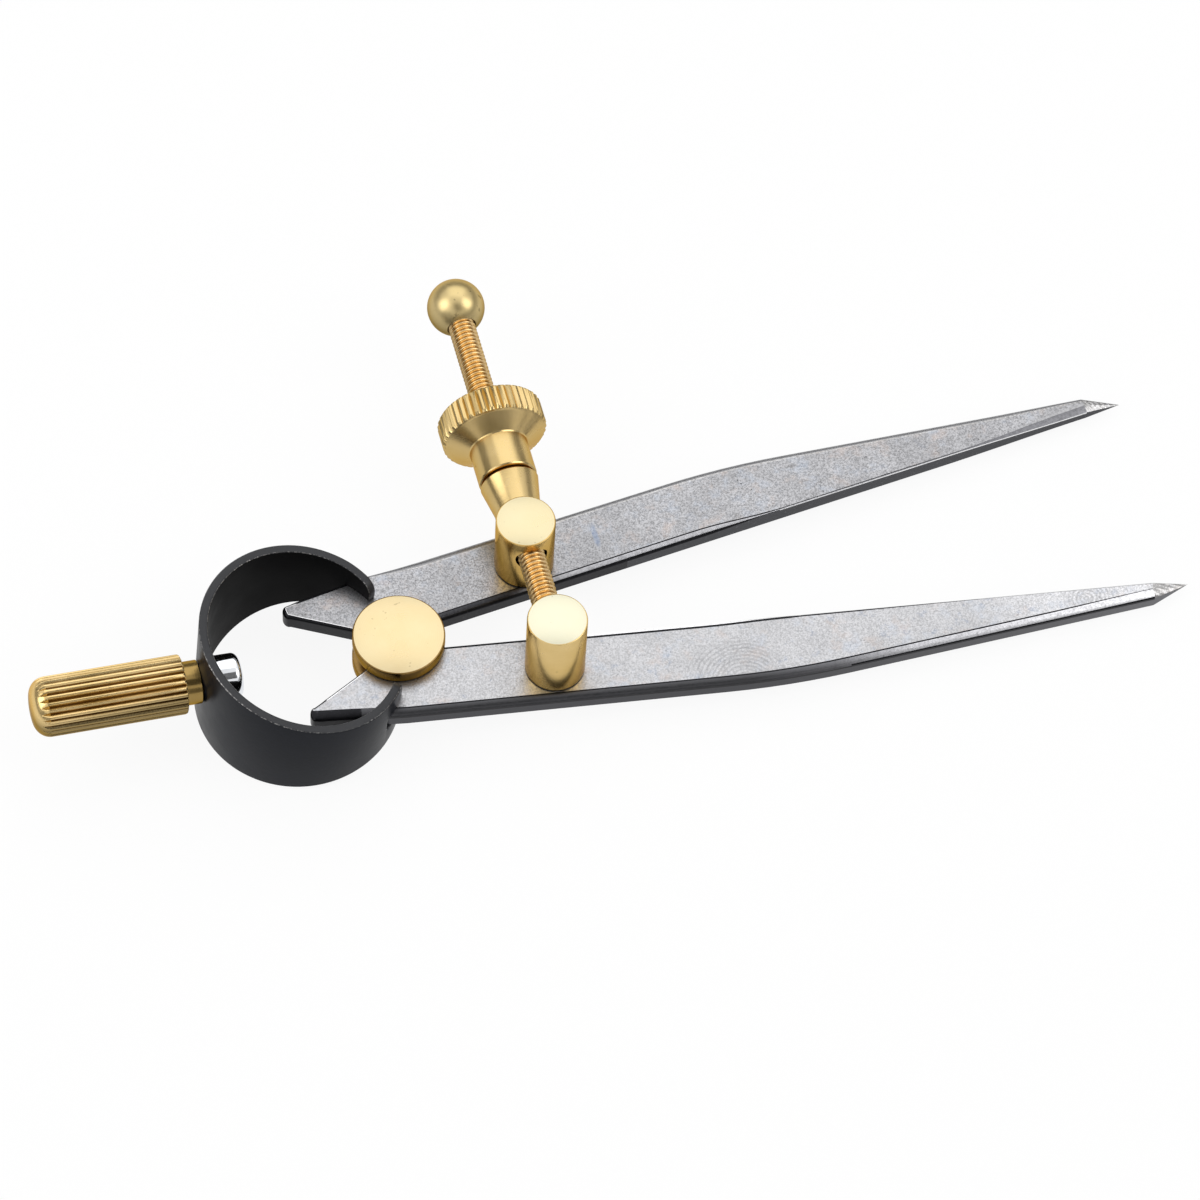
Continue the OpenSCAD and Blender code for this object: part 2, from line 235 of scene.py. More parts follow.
def ground_steel(name, light, dark, grainy, pitted, smudged, marks=(), stain=None, painted_sheen=None):
    """Ground steel with a grain, cloudy tints, pits and bluish smudges; marks are curved grinding marks about
    a point in a patch, the stain is a bluish streak, and the last argument gives a lighter patch that paints a
    sheen."""
    m = Nodes(name, Metallic=1.0)
    cloud = m.noise(150, 5, 0.62)
    grain = m.noise(4000, 3, 0.75)
    base = m.ramp(cloud, [(0.32, dark), (0.68, light)])
    # A painted sheen: a lighter patch where the leg catches the light
    if painted_sheen is not None:
        base = m.mix(m.level(m.spot(*painted_sheen), 0.0, 0.7, 0.0, 0.7), base, shade(light, 1.4))
    base = m.mix(m.level(grain, 0.40, 0.64, 0.0, grainy), base, shade(dark, 0.48))
    blue = m.noise(300, 5, 0.65)
    base = m.mix(m.level(blue, 0.55, 0.72, 0.0, 0.40), base, BLUE_TINT)
    warm = m.noise(260, 5, 0.65, m.stretched((1, 1, 1), (37, 11, 5)))
    base = m.mix(m.level(warm, 0.55, 0.72, 0.0, 0.45), base, WARM_TINT)
    crowd = m.level(m.noise(110, 3, 0.5), 0.38, 0.55, 0.0, 1.0)
    pits = m.times(crowd, m.level(m.noise(1500, 5, 0.7), 0.64, 0.67, 0.0, pitted))
    base = m.mix(pits, base, PIT)
    smudges = m.times(m.level(m.noise(420, 3, 0.6), 0.60, 0.68, 0.0, smudged), m.level(grain, 0.40, 0.60, 0.2, 1.0))
    base = m.mix(smudges, base, SMUDGE)
    normal = m.bump(grain, 0.03, 0.6)
    normal = m.bump(cloud, 0.2, 0.25, normal)
    for centre, patch in marks:
        inside = m.level(m.spot(*patch), 0.05, 0.45, 0.0, 1.0)
        lines = m.times(m.rings(centre, MARK_PITCH, "SPHERICAL", 2.0), inside)
        base = m.mix(m.level(lines, 0.3, 1.0, 0.0, 0.42), base, shade(dark, 0.55))
        normal = m.bump(lines, 0.05, 0.5, normal)
    if stain is not None:
        streak = m.times(m.spot(*stain), m.noise(1500, 4, 0.65))
        base = m.mix(m.level(streak, 0.14, 0.36, 0.0, 0.6), base, SMUDGE)
    m.to_shader(base, "Base Color")
    m.to_shader(m.level(grain, 0.3, 0.7, 0.26, 0.42), "Roughness")
    m.to_shader(normal, "Normal")
    return m.material


def edge_steel(name, stops, specks=0.6):
    """Smoother steel of an edge, its tone changing along the leg."""
    m = Nodes(name, Metallic=1.0)
    grain = m.noise(2600, 4, 0.7)
    base = m.ramp(m.level(m.along("X"), 0.0, LEG_REACH * MM, 0.0, 1.0), stops)
    base = m.mix(m.level(grain, 0.45, 0.75, 0.0, specks), base, SPECK)
    m.to_shader(base, "Base Color")
    m.to_shader(m.level(grain, 0.3, 0.7, 0.28, 0.42), "Roughness")
    m.to_shader(m.bump(grain, 0.02, 0.5), "Normal")
    return m.material


def dark_steel(name, light, dark, rough):
    """Steel under a dark scale, with brighter specks."""
    m = Nodes(name, Metallic=0.85)
    cloud = m.noise(260, 5, 0.6)
    base = m.ramp(cloud, [(0.3, dark), (0.7, light)])
    specks = m.noise(1900, 3, 0.6)
    base = m.mix(m.level(specks, 0.62, 0.74, 0.0, 0.5), base, shade(light, 3))
    m.to_shader(base, "Base Color")
    m.to_shader(m.level(cloud, 0.3, 0.7, rough, rough + 0.15), "Roughness")
    m.to_shader(m.bump(m.noise(2200, 3, 0.6), 0.04, 0.4), "Normal")
    return m.material


def black_oxide(name, light, dark, gloss, rough, worn=0.0):
    """Black oxide on spring steel; worn is how much of it is rubbed off to bright specks."""
    m = Nodes(name, Specular_IOR_Level=gloss)
    cloud = m.noise(140, 5, 0.6)
    base = m.ramp(cloud, [(0.3, dark), (0.7, light)])
    if worn > 0:
        rub = m.noise(2800, 4, 0.75)
        patch = m.noise(170, 3, 0.5)
        rubbed = m.times(m.level(rub, 0.46, 0.60, 0.0, worn), m.level(patch, 0.38, 0.58, 0.15, 1.0))
        base = m.mix(rubbed, base, RUBBED)
        m.to_shader(rubbed, "Metallic")
    m.to_shader(base, "Base Color")
    m.to_shader(m.level(cloud, 0.3, 0.7, rough, rough + 0.12), "Roughness")
    m.to_shader(m.bump(m.noise(1700, 3, 0.6), 0.03, 0.35), "Normal")
    return m.material


# Colour of what brass mirrors at a slant
SLANT_TINT = (0.78, 0.60, 0.36, 1)


def brass(name, light, dark, rough, stretch, nicks=0.72, low=None):
    """Turned brass: fine tool lines across the stretched axis, a cloudy tarnish and small nicks; low holds the
    height from which a painted shade darkens it downwards and the one where that shade is darkest, in millimetres."""
    m = Nodes(name, Metallic=1.0, Specular_Tint=SLANT_TINT)
    cloud = m.noise(150, 4, 0.6)
    base = m.ramp(cloud, [(0.32, dark), (0.66, light)])
    nick = m.noise(1100, 3, 0.5)
    base = m.mix(m.level(nick, nicks, nicks + 0.04, 0.0, 0.6), base, shade(dark, 0.4))
    # Painted shade: below the first height of low the colour darkens, as if the lower side lay in shade
    if low is not None:
        start, end = low
        base = m.mix(m.level(m.along("Z"), end * MM, start * MM, 0.75, 0.0), base, shade(dark, 0.20))
    m.to_shader(base, "Base Color")
    tool = m.noise(1.0, 2, 0.6, m.stretched(stretch))
    m.to_shader(m.level(cloud, 0.3, 0.7, rough, rough + 0.10), "Roughness")
    m.to_shader(m.bump(tool, 0.01, 0.6), "Normal")
    return m.material


def faced_brass_highlit(name, light, dark, centre):
    """Brass faced on a lathe, with fine rings round that centre in millimetres; its paler tone paints the highlight
    of a flat top.
    """
    m = Nodes(name, Metallic=1.0)
    cloud = m.noise(190, 4, 0.6)
    rings = m.rings(centre, FACING_PITCH, "Z", 2.5)
    base = m.ramp(cloud, [(0.30, dark), (0.68, light)])
    base = m.mix(m.level(rings, 0.4, 1.0, 0.0, 0.12), base, shade(dark, 0.85))
    nick = m.noise(1500, 2, 0.4)
    base = m.mix(m.level(nick, 0.71, 0.76, 0.0, 0.5), base, shade(dark, 0.5))
    m.to_shader(base, "Base Color")
    m.to_shader(m.level(cloud, 0.3, 0.7, 0.26, 0.36), "Roughness")
    m.to_shader(m.bump(rings, 0.0006, 0.5), "Normal")
    return m.material


def plated():
    m = Nodes("plated", Metallic=1.0)
    cloud = m.noise(300, 3, 0.5)
    m.to_shader(m.ramp(cloud, [(0.3, (0.72, 0.74, 0.77)), (0.7, (0.84, 0.86, 0.89))]), "Base Color")
    m.to_shader(m.level(cloud, 0.3, 0.7, 0.04, 0.10), "Roughness")
    return m.material


# Places of marks on the legs: a centre and radii, in millimetres
FAR_STREAK = ((32.0, 11.0, LEG_TOP), (0.75, 3.6, 4.0))
NEAR_SWIRLS = [
    ((46.5, -18.5, LEG_TOP), ((45.5, -14.5, LEG_TOP), (9.0, 5.5, 6.0))),
    ((98.3, -15.9, LEG_TOP), ((98.5, -15.5, LEG_TOP), (5.0, 3.0, 4.0))),
]
POINT_HATCH = [((128.0, 30.0, LEG_TOP), ((113.0, 0.0, LEG_MID), (40.0, 60.0, 20.0)))]
# A painted sheen on the near leg towards its point
NEAR_PAINTED_SHEEN = ((106.0, -13.0, LEG_TOP), (27.0, 12.0, 12.0))
STEEL_FAR = ground_steel(
    "leg_face_far", (0.445, 0.445, 0.461), (0.345, 0.345, 0.357), 0.88, 0.9, 0.15, stain=FAR_STREAK,
)
STEEL_NEAR = ground_steel(
    "leg_face_near", (0.51, 0.51, 0.525), (0.43, 0.43, 0.442), 0.60, 0.45, 0.40, NEAR_SWIRLS, painted_sheen=NEAR_PAINTED_SHEEN,
)
STEEL_TIP = ground_steel("leg_point", (0.60, 0.59, 0.59), (0.39, 0.385, 0.38), 0.70, 0.3, 0.0, POINT_HATCH)
STEEL_SIDE = dark_steel("leg_side", (0.070, 0.071, 0.078), (0.042, 0.043, 0.048), 0.38)
# Near-black steel: painted shade in the creases along the bevels, under the bow, by the fulcrum and on the noses'
# ends
STEEL_SHADE_DARK = dark_steel("leg_dark_painted_shade", (0.020, 0.020, 0.023), (0.011, 0.011, 0.013), 0.32)
# Near-white steel of thin lines along the legs' edges: painted glints
STEEL_GLINT = edge_steel("leg_painted_glint", [(0.0, (0.88, 0.88, 0.89)), (1.0, (0.88, 0.88, 0.89))], 0.25)
# The tones of the rims and bevels along the leg paint the shading the bevels catch: mid grey on the rims, dark by
# the fulcrum and on the far bevel towards the point, and near white, a painted highlight, on the near bevel towards
# the point
STEEL_RIM = edge_steel("leg_rim", [(0.0, (0.30, 0.30, 0.31)), (1.0, (0.36, 0.36, 0.37))])
FAR_BEVEL = edge_steel("leg_bevel_far", [
    (0.15, (0.045, 0.045, 0.05)), (0.23, (0.42, 0.42, 0.44)), (0.52, (0.46, 0.46, 0.48)),
    (0.76, (0.11, 0.11, 0.12)), (1.0, (0.17, 0.17, 0.18)),
])
NEAR_BEVEL = edge_steel("leg_bevel_near", [
    (0.42, (0.075, 0.075, 0.08)), (0.52, (0.15, 0.15, 0.16)), (0.62, (0.52, 0.52, 0.545)),
    (0.86, (0.72, 0.72, 0.745)), (1.0, (0.88, 0.88, 0.90)),
])
NEAR_SIDE = edge_steel("leg_side_near", [
    (0.45, (0.060, 0.060, 0.066)), (0.75, (0.10, 0.10, 0.107)), (1.0, (0.15, 0.15, 0.16)),
], 0.3)
BOW_OUT = black_oxide("bow_outside", (0.009, 0.0105, 0.0155), (0.0055, 0.0068, 0.0105), 0.08, 0.28)
# The bow's inside: a darker, duller copy of its outside, a painted shade
BOW_IN_SHADED = black_oxide("bow_inside_shaded", (0.0032, 0.0032, 0.0035), (0.002, 0.002, 0.0022), 0.03, 0.45)
BOW_RIM = black_oxide("bow_rim", (0.030, 0.031, 0.035), (0.018, 0.019, 0.022), 0.34, 0.36)
BOW_EDGE = black_oxide("bow_edge", (0.030, 0.031, 0.034), (0.018, 0.019, 0.022), 0.30, 0.36, 0.9)
BRASS_LIGHT, BRASS_DARK = (0.69, 0.515, 0.24), (0.62, 0.45, 0.19)
# How much the tool lines' texture is squeezed on each axis, for turning about x, y and z
TURNED_X, TURNED_Y, TURNED_Z = (5200, 120, 120), (120, 5200, 120), (120, 120, 5200)
# Heights in millimetres of painted shade: the handle's and the ball's lower sides and the screw's limbs darken below
# them
HANDLE_SHADE_BELOW, SCREW_SHADE_BELOW, BALL_SHADE_BELOW = (9.0, 7.4), (13.9, 12.2), (14.6, 11.4)
BRASS_NEAR_POST = brass("brass_near_post", BRASS_LIGHT, BRASS_DARK, 0.20, TURNED_Z)
# Shaded copies of the brass: the far post, the spool's sides and the nut and collar are darker to paint the shade
# they lie in
BRASS_FAR_POST_SHADED = brass("brass_far_post", (0.60, 0.41, 0.15), (0.52, 0.345, 0.117), 0.20, TURNED_Z)
BRASS_SPOOL_SHADED = brass("brass_spool", (0.28, 0.172, 0.058), (0.22, 0.135, 0.044), 0.24, TURNED_Z)
BRASS_ACROSS_SHADED = brass("brass_across", shade(BRASS_LIGHT, 0.9), shade(BRASS_DARK, 0.9), 0.20, TURNED_Y)
# Darker orange brass: painted shade in the gap between the collar and the nut
BRASS_GAP_SHADE = brass("brass_gap_painted_shade", (0.56, 0.29, 0.07), (0.48, 0.24, 0.05), 0.30, (300, 900, 300))
BRASS_SHADOW = brass("brass_shadow", (0.075, 0.05, 0.02), (0.05, 0.032, 0.012), 0.30, (300, 300, 900))
BRASS_HANDLE = brass(
    "brass_handle", (0.82, 0.605, 0.293), (0.695, 0.503, 0.214), 0.20, TURNED_X, nicks=0.70, low=HANDLE_SHADE_BELOW,
)
# Dark brass of the flutes' bottoms: painted shade in the grooves
BRASS_GROOVE_SHADE = brass(
    "brass_groove_painted_shade", (0.34, 0.21, 0.075), (0.25, 0.15, 0.05), 0.30, (300, 900, 900), nicks=0.75, low=HANDLE_SHADE_BELOW,
)
# Dark brass of the neck: a painted reflection of the black bow beside it
BRASS_NECK_REFLECTION = brass("brass_neck_painted_reflection", (0.35, 0.24, 0.088), (0.28, 0.185, 0.06), 0.16, TURNED_X)
BRASS_SCREW = brass("brass_screw", (0.95, 0.69, 0.36), (0.83, 0.58, 0.27), 0.22, (120, 3000, 120), low=SCREW_SHADE_BELOW)
BRASS_ROOT_SHADE = brass("brass_thread_root_painted_shade", (0.48, 0.29, 0.11), (0.38, 0.22, 0.075), 0.30, (300, 3000, 300))
BRASS_BALL = brass(
    "brass_ball", (0.66, 0.52, 0.26), (0.55, 0.43, 0.20), 0.30, (200, 900, 200), nicks=0.66, low=BALL_SHADE_BELOW,
)
# The flat tops of the spool and the posts: paler brass that paints the highlight they catch
SPOOL_FACE = faced_brass_highlit("brass_spool_face", (0.68, 0.57, 0.345), (0.63, 0.505, 0.285), (0, 0, 0))
NEAR_POST_FACE = faced_brass_highlit("brass_near_face", (0.67, 0.65, 0.50), (0.64, 0.61, 0.455), (POST_X, -POST_Y, 0))
FAR_POST_FACE = faced_brass_highlit("brass_far_face", (0.66, 0.585, 0.38), (0.62, 0.535, 0.33), (POST_X, POST_Y, 0))
PLATED = plated()


# Mesh helpers


SHARP = 32.0


def mark_sharp(bm, sharp):
    """Smooth shading, but for edges sharper than the angle in degrees."""
    limit = math.radians(sharp)
    for face in bm.faces:
        face.smooth = True
    for edge in bm.edges:
        edge.smooth = not (len(edge.link_faces) == 2 and edge.calc_face_angle() > limit)


def to_object(bm, name, materials, place, sharp=SHARP):
    """The mesh in millimetres becomes an object in metres."""
    bm.transform(Matrix.Scale(MM, 4) @ place)
    bmesh.ops.remove_doubles(bm, verts=bm.verts, dist=1e-7)
    bmesh.ops.recalc_face_normals(bm, faces=bm.faces)
    mark_sharp(bm, sharp)
    mesh = bpy.data.meshes.new(name)
    bm.to_mesh(mesh)
    bm.free()
    for material in materials:
        mesh.materials.append(material)
    obj = bpy.data.objects.new(name, mesh)
    bpy.context.scene.collection.objects.link(obj)
    return obj


def skin(bm, rows):
    """Faces between closed rows of points; a row of one point is a pole."""
    made = [[bm.verts.new(p) for p in row] for row in rows]
    for a, b in zip(made, made[1:]):
        n = max(len(a), len(b))
        for i in range(n):
            j = (i + 1) % n
            quad = [a[i % len(a)], a[j % len(a)], b[j % len(b)], b[i % len(b)]]
            corners = list(dict.fromkeys(quad))
            if len(corners) > 2:
                bm.faces.new(corners)


def ring(r, z, n, wave=None):
    """A circle of n points at the height z; wave(turn) gives the radius instead of r."""
    if r == 0:
        return [(0, 0, z)]
    made = []
    for i in range(n):
        radius = wave(i / n) if wave else r
        made.append((radius * math.cos(TAU * i / n), radius * math.sin(TAU * i / n), z))
    return made


def lathe(profile, n=96):
    bm = bmesh.new()
    skin(bm, [ring(r, z, n) for r, z in profile])
    return bm


def chamfered(r, z0, z1, c):
    """Profile of a turned disc from z0 to z1 without its ends, with softened rims."""
    low = [(r - c, z0), (r - 0.3 * c, z0 + 0.3 * c), (r, z0 + c)]
    return low + [(r, z1 - c), (r - 0.3 * c, z1 - 0.3 * c), (r - c, z1)]


def mark_top(bm, z):
    """The flat faces at the height z get the second material."""
    for face in bm.faces:
        if all(abs(v.co.z - z) < 1e-5 for v in face.verts):
            face.material_index = 1


def cut(obj, cutter):
    """Cuts the second object's shape out of the first."""
    tool = obj.modifiers.new("cut", "BOOLEAN")
    tool.object = cutter
    tool.operation = "DIFFERENCE"
    tool.solver = "EXACT"
    done = bpy.data.meshes.new_from_object(obj.evaluated_get(bpy.context.evaluated_depsgraph_get()))
    obj.modifiers.clear()
    obj.data = done
    bpy.data.objects.remove(cutter)
    bm = bmesh.new()
    bm.from_mesh(done)
    mark_sharp(bm, SHARP)
    bm.to_mesh(done)
    bm.free()
    return obj


def place_piece(obj, body, node):
    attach(obj, body)
    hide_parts(node)
    return obj


# Legs


def bend_points(steps=6):
    start = SHOULDER + SHOULDER_BEND * (Vector((0, OUTER_EDGE)) - SHOULDER) / SHOULDER.x
    end = SHOULDER + SHOULDER_BEND * (Vector((TIP_START, TIP_Y)) - SHOULDER) / (TIP_START - SHOULDER.x)
    return [
        (1 - t) ** 2 * start + 2 * t * (1 - t) * SHOULDER + t * t * end
        for t in (i / steps for i in range(steps + 1))
    ]


def between(a, b, steps, first=0):
    """Points from a towards b, without b; first is 1 to leave a out too."""
    return [a.lerp(b, i / steps) for i in range(first, steps)]


def notch_meet(start, steps=2000):
    """Where the nose's inner edge meets the notch."""
    end = Vector((NOSE_ROOT, INNER_EDGE))
    t = next(i / steps for i in range(steps + 1) if start.lerp(end, i / steps).length < NOTCH_R)
    return start.lerp(end, t)


def leg_groups():
    """The outline's edges in turn, anticlockwise, each as a list of points."""
    notch_x = math.sqrt(NOTCH_R**2 - INNER_EDGE**2)
    inner = [Vector((x, INNER_EDGE)) for x in [notch_x, 4.6, 5.6, *range(8, 109, 2), TIP_START]]
    bend = bend_points()
    corner = Vector((0, OUTER_EDGE))
    taper = between(Vector((TIP_START, TIP_Y)), bend[-1], 24)
    head = between(bend[0], corner, 12, 1)
    nose_out = between(corner, Vector((NOSE_END, NOSE_Y)), 8)
    nose = []
    for degrees in range(90, 271, 12):
        a = math.radians(degrees)
        across = NOSE_Y - NOSE_HALF_Y + NOSE_HALF_Y * math.sin(a)
        nose.append(Vector((NOSE_END + NOSE_HALF_X * math.cos(a), across)))
    meet = notch_meet(nose[-1])
    nose_in = between(nose[-1], meet, 6, 1)
    a0, a1 = math.atan2(meet.y, meet.x), math.atan2(INNER_EDGE, notch_x)
    notch, steps = [], 20
    for i in range(steps):
        a = a0 + (a1 - a0) * i / steps
        notch.append(NOTCH_R * Vector((math.cos(a), math.sin(a))))
    return [
        ("inner", inner), ("outer", taper + bend[::-1] + head + nose_out),
        ("nose", nose), ("nose_in", nose_in), ("notch", notch),
    ]


def left_normals(points):
    """Directions across a chain of points, to the left of its run."""
    made = []
    for i in range(len(points)):
        run = (points[min(i + 1, len(points) - 1)] - points[max(i - 1, 0)]).normalized()
        made.append(Vector((-run.y, run.x)))
    return made


# A leg's materials, in the order of its slots
# DARK is near-black steel that paints shade, BRIGHT near-white steel that paints glints
FACE, SIDE, DARK, POINT, BRIGHT, BEVEL, RIM = range(7)

# An upper edge of a leg: width and drop of its bevel, how round that is (0 is flat), the materials of its upper and
# lower part, width and material of the line along its top, height and material of the line under it (thin strips
# that paint a crease's shade or an edge's glint), the wall's material, how many steps of the bevel are its lower
# part, and the bevel of the lower edge. Both legs' edges change along x, the distance from the fulcrum
EDGE_FIELDS = "width drop round bevel under line_width line lip_height lip wall lower foot"
Edge = namedtuple("Edge", EDGE_FIELDS, defaults=(2, 0.20))


def plain_edge(kind, line):
    """The edge of the nose's end or of the notch."""
    if kind == "nose":
        return Edge(0.50, 0.48, 1.0, DARK, DARK, 0.08, line, 0.05, DARK, DARK)
    return Edge(0.05, 0.05, 0.0, SIDE, SIDE, 0.05, SIDE, 0.05, SIDE, SIDE, foot=0.05)


def far_edge(kind, x):
    if kind == "inner":
        round_to, dark_to = 60, 94
        head = smoothstep(4, 6, x) * (1 - smoothstep(47, round_to, x))
        tip = smoothstep(86, TIP_START, x)
        width, drop = 0.10 + 0.78 * head + 0.85 * tip, 0.06 + 0.62 * head + 0.45 * tip
        if x < round_to:
            wall = DARK if x < 36 else SIDE
            return Edge(width, drop, 0.85, BEVEL, DARK, 0.22, DARK, 0.05, wall, wall)
        lip = 0.12 + 0.14 * smoothstep(round_to, 85, x)
        crease = 0.02 + 0.12 * (1 - smoothstep(78, dark_to, x)) + 0.45 * smoothstep(dark_to, TIP_START, x)
        line = DARK if x < dark_to else RIM
        foot = 0.20 + 0.55 * tip
        return Edge(width, drop, -0.2 * tip, BEVEL, BEVEL, crease, line, lip, BRIGHT, SIDE, foot=foot)
    if kind == "outer":
        tip = smoothstep(95, TIP_START, x)
        nose = 1 - smoothstep(0, 6, x)
        head = smoothstep(2, 6, x) * (1 - smoothstep(12, 24, x))
        width, drop = 0.8 - 0.3 * tip - 0.55 * nose + 0.2 * head, 0.5 - 0.2 * tip - 0.44 * nose
        crease = 0.08 + 0.10 * smoothstep(2, 6, x)
        tone, line = (RIM, POINT) if x > 0 else (DARK, BRIGHT if x < -11 else DARK)
        return Edge(width, drop, 0.6, tone, tone, crease, line, 0.05, SIDE, SIDE)
    if kind == "nose_in":
        return Edge(0.40, 0.38, 0.9, DARK, DARK, 0.08, BRIGHT, 0.05, DARK, DARK)
    return plain_edge(kind, BRIGHT)


def near_edge(kind, x):
    if kind == "inner":
        dark_to, bright_to = 22, 56
        if x < dark_to:
            return Edge(0.05, 0.03, 0.0, DARK, DARK, 0.28, DARK, 0.05, SIDE, SIDE)
        if x > bright_to:
            dark = 0.16 * (1 - smoothstep(60, 84, x))
            line = DARK if dark > 0 else RIM
            return Edge(0.10, 0.08, 0.0, RIM, RIM, 0.05 + dark, line, 0.05, SIDE, SIDE)
        head = 1 - smoothstep(44, bright_to, x)
        width, drop = 0.06 + 0.30 * head, 0.03 + 0.05 * head
        return Edge(width, drop, 0.0, BRIGHT, BRIGHT, 0.34, DARK, 0.05, SIDE, SIDE)
    if kind == "outer":
        tip = smoothstep(92, TIP_START, x)
        nose = 1 - smoothstep(-9, 0, x)
        tone, wall = (BEVEL, SIDE) if x > -6 else (DARK, DARK)
        under = DARK if x > 64 else tone
        width, crease = 1.0 + 0.25 * tip + 0.4 * nose, 0.24 - 0.14 * tip - 0.18 * nose
        return Edge(width, 0.60, 0.7, tone, under, crease, DARK, 0.36, DARK, wall, lower=1)
    if kind == "nose_in":
        return Edge(0.26, 0.26, 0.0, DARK, DARK, 0.10, BRIGHT, 0.05, DARK, DARK)
    return plain_edge(kind, DARK)


BEVEL_STEPS = 4


def edge_levels(edge):
    """How far in, and how high, each row of points lies, from the leg's underside to its upper face."""
    wall_top = LEG_TOP - edge.drop - edge.lip_height
    levels = [(edge.foot, LEG_BOTTOM), (0, LEG_BOTTOM + edge.foot), (0, wall_top)]
    for i in range(BEVEL_STEPS, -1, -1):
        t = i / BEVEL_STEPS
        turn = t * math.pi / 2
        across = 1 - t + edge.round * (t - math.sin(turn))
        down = t + edge.round * (1 - math.cos(turn) - t)
        levels.append((across * edge.width, LEG_TOP - down * edge.drop))
    return levels + [(edge.width + edge.line_width, LEG_TOP)]


# The round end of a nose's upper face: its middle on y, and its half sizes on x and y
FAR_NOSE_FACE = (10.58, 0.15, 0.66)
NEAR_NOSE_FACE = (9.90, 0.35, 0.20)


def toward_face(p, nose_face):
    """From a point of the nose's end to the same point of the upper face's end."""
    y, half_x, half_y = nose_face
    out = Vector(((p.x - NOSE_END) / NOSE_HALF_X, (p.y - NOSE_Y) / NOSE_HALF_Y + 1))
    return Vector((NOSE_END + half_x * out.x, y + half_y * out.y)) - p


def leg(name, place, edge_at, nose_face, face, bevel, side):
    """A leg with the edges that edge_at gives for each kind of edge and x."""
    rows = [[] for _ in range(BEVEL_STEPS + 5)]
    edges = []
    bm = bmesh.new()
    groups = leg_groups()
    for kind, points in groups:
        for p, n in zip(points, left_normals(points)):
            edge = edge_at(kind, p.x)
            if kind == "nose":
                n = toward_face(p, nose_face)
                edge = edge._replace(width=n.length)
                n.normalize()
            for row, (inset, z) in zip(rows, edge_levels(edge)):
                q = p + n * inset
                row.append(bm.verts.new((q.x, q.y, z)))
            edges.append(edge)
    inner_end = len(groups[0][1]) - 1
    for i, edge in enumerate(edges):
        if i == inner_end:
            continue
        j = (i + 1) % len(edges)
        steps = [edge.under] * edge.lower + [edge.bevel] * (BEVEL_STEPS - edge.lower)
        tones = [edge.wall, edge.wall, edge.lip, *steps, edge.line]
        for a, b, material in zip(rows, rows[1:], tones):
            bm.faces.new((a[i], a[j], b[j], b[i])).material_index = material
    point = bm.verts.new((LEG_REACH, INNER_EDGE, LEG_MID))
    i, j = inner_end, inner_end + 1
    up = [row[i] for row in rows[1:4]]
    down = [row[j] for row in rows[3:0:-1]]
    top = [row[i] for row in rows[3:]] + [row[j] for row in rows[:2:-1]]
    under = [rows[1][j], rows[0][j], rows[0][i], rows[1][i]]
    for chain, material in ((up, SIDE), (down, SIDE), (top, POINT), (under, POINT)):
        for a, b in zip(chain, chain[1:]):
            bm.faces.new((a, b, point)).material_index = material
    walls = []
    for row, z in ((rows[0], LEG_BOTTOM), (rows[-1], LEG_TOP)):
        circle = ring(POST_HOLE_R, z, POST_HOLE_SIDES)
        loop = [bm.verts.new((POST_HOLE[0] + x, POST_HOLE[1] + y, z)) for x, y, z in circle]
        walls.append(loop)
        chains = []
        for chain in (row, loop):
            for a, b in zip(chain, chain[1:] + chain[:1]):
                chains.append(bm.edges.get((a, b)) or bm.edges.new((a, b)))
        bmesh.ops.triangle_fill(bm, use_beauty=True, edges=chains, normal=(0, 0, 1))
    for i in range(POST_HOLE_SIDES):
        j = (i + 1) % POST_HOLE_SIDES
        bm.faces.new((walls[0][i], walls[0][j], walls[1][j], walls[1][i])).material_index = SIDE
    materials = [face, side, STEEL_SHADE_DARK, STEEL_TIP, STEEL_GLINT, bevel, STEEL_RIM]
    return to_object(bm, name, materials, place, 30.0)


far_leg = leg("far_leg_ground", FAR_LEG_FRAME, far_edge, FAR_NOSE_FACE, STEEL_FAR, FAR_BEVEL, STEEL_SIDE)
near_leg = leg("near_leg_ground", NEAR_LEG_FRAME, near_edge, NEAR_NOSE_FACE, STEEL_NEAR, NEAR_BEVEL, NEAR_SIDE)
place_piece(far_leg, "far_arm", "far_leg")
place_piece(near_leg, "near_arm", "near_leg")


# Bow spring, in two halves


def bow_outer(a):
    return BOW_R - BOW_OVAL * math.cos(2 * a) - BOW_FULL * math.cos(3 * a)


